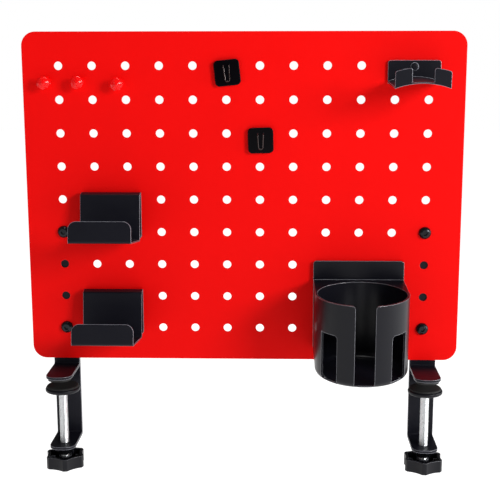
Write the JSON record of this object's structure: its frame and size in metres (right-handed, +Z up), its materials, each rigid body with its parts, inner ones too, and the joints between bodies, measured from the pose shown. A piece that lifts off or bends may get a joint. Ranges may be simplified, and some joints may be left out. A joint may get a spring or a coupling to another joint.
{
  "type": "desk-clamp pegboard",
  "caption": "Steel pegboard on two screw clamps for a desk edge, with magnetic cup holder, controller cradles, headphone hanger, cable clips and push pins.",
  "frame": {"origin": "on the desk's rear edge, midway between the two clamps, level with the underside of the upper jaw pads and with the front face of the clamp spines", "axes": "+X to the right seen from the front, +Y away from the user behind the board, +Z up; the board and its accessories face -Y"},
  "size_m": [0.5, 0.1311, 0.5033],
  "materials": {
    "red_coat": "fine satin powder coat",
    "black_coat": "fine satin powder coat",
    "pad_rubber": "matt, faint moulded texture",
    "magnet_sheet": "matt flexible magnet",
    "bright_zinc": "bright zinc plate",
    "black_disc": "fine matt moulded",
    "black_knob": "fine matt moulded",
    "black_oxide": "black oxide, satin",
    "cup_plastic": "fine satin moulded",
    "clip_plastic": "polished",
    "hook_chrome": "bright drawn wire",
    "pin_plastic": "polished translucent-looking red",
    "pin_magnet": "nickel plate"
  },
  "bodies": {
    "station": {"pegboard_panel": "red_coat", "left_upright": "black_coat", "right_upright": "black_coat", "left_clamp_bracket": "black_coat", "right_clamp_bracket": "black_coat", "left_jaw_pad": "pad_rubber", "right_jaw_pad": "pad_rubber", "left_clamp_bush": "black_oxide", "right_clamp_bush": "black_oxide", "bracket_rivets": "black_oxide", "panel_screws": "black_oxide", "panel_washers": "black_oxide", "panel_nuts": "black_oxide"},
    "left_disc": {"left_pressure_disc": "black_disc", "left_disc_pad": "pad_rubber"},
    "left_screw": {"left_clamp_screw": "bright_zinc", "left_star_knob": "black_knob"},
    "right_disc": {"right_pressure_disc": "black_disc", "right_disc_pad": "pad_rubber"},
    "right_screw": {"right_clamp_screw": "bright_zinc", "right_star_knob": "black_knob"},
    "cup": {"cup_holder": "cup_plastic", "cup_holder_magnet": "magnet_sheet"},
    "upper_holder": {"upper_cradle": "black_coat", "upper_cradle_magnet": "magnet_sheet"},
    "lower_holder": {"lower_cradle": "black_coat", "lower_cradle_magnet": "magnet_sheet"},
    "hanger": {"headphone_hanger": "black_coat", "hanger_magnet": "magnet_sheet", "hanger_rivet": "black_coat"},
    "clip_1": {"cable_clip_1_plate": "clip_plastic", "cable_clip_1_magnet": "magnet_sheet", "cable_clip_1_hook": "hook_chrome"},
    "clip_2": {"cable_clip_2_plate": "clip_plastic", "cable_clip_2_magnet": "magnet_sheet", "cable_clip_2_hook": "hook_chrome"},
    "pin_1": {"push_pin_1_body": "pin_plastic", "push_pin_1_magnet": "pin_magnet"},
    "pin_2": {"push_pin_2_body": "pin_plastic", "push_pin_2_magnet": "pin_magnet"},
    "pin_3": {"push_pin_3_body": "pin_plastic", "push_pin_3_magnet": "pin_magnet"}
  },
  "joints": [
    {"name": "left_disc_lift", "type": "slide", "parent": "station", "child": "left_disc", "axis": [0, 0, 1], "range_m": [-0.058, 0.0025]},
    {"name": "left_screw_turn", "type": "hinge", "parent": "left_disc", "child": "left_screw", "pos_m": [-0.211, -0.031, -0.06], "axis": [0, 0, 1], "range_deg": [-13922, 603]},
    {"name": "right_disc_lift", "type": "slide", "parent": "station", "child": "right_disc", "axis": [0, 0, 1], "range_m": [-0.058, 0.0025]},
    {"name": "right_screw_turn", "type": "hinge", "parent": "right_disc", "child": "right_screw", "pos_m": [0.211, -0.031, -0.06], "axis": [0, 0, 1], "range_deg": [-13922, 603]},
    {"name": "cup_pull", "type": "slide", "parent": "station", "child": "cup", "axis": [0, -1, 0], "range_m": [0, 0.06]},
    {"name": "upper_holder_pull", "type": "slide", "parent": "station", "child": "upper_holder", "axis": [0, -1, 0], "range_m": [0, 0.06]},
    {"name": "lower_holder_pull", "type": "slide", "parent": "station", "child": "lower_holder", "axis": [0, -1, 0], "range_m": [0, 0.06]},
    {"name": "hanger_pull", "type": "slide", "parent": "station", "child": "hanger", "axis": [0, -1, 0], "range_m": [0, 0.06]},
    {"name": "clip_1_pull", "type": "slide", "parent": "station", "child": "clip_1", "axis": [0, -1, 0], "range_m": [0, 0.06]},
    {"name": "clip_2_pull", "type": "slide", "parent": "station", "child": "clip_2", "axis": [0, -1, 0], "range_m": [0, 0.06]},
    {"name": "pin_1_pull", "type": "slide", "parent": "station", "child": "pin_1", "axis": [0, -1, 0], "range_m": [0, 0.06]},
    {"name": "pin_2_pull", "type": "slide", "parent": "station", "child": "pin_2", "axis": [0, -1, 0], "range_m": [0, 0.06]},
    {"name": "pin_3_pull", "type": "slide", "parent": "station", "child": "pin_3", "axis": [0, -1, 0], "range_m": [0, 0.06]}
  ],
  "couplings": [
    {"joint": "left_screw_turn", "follows": "left_disc_lift", "rad_per_m": 4188.8},
    {"joint": "right_screw_turn", "follows": "right_disc_lift", "rad_per_m": 4188.8}
  ]
}
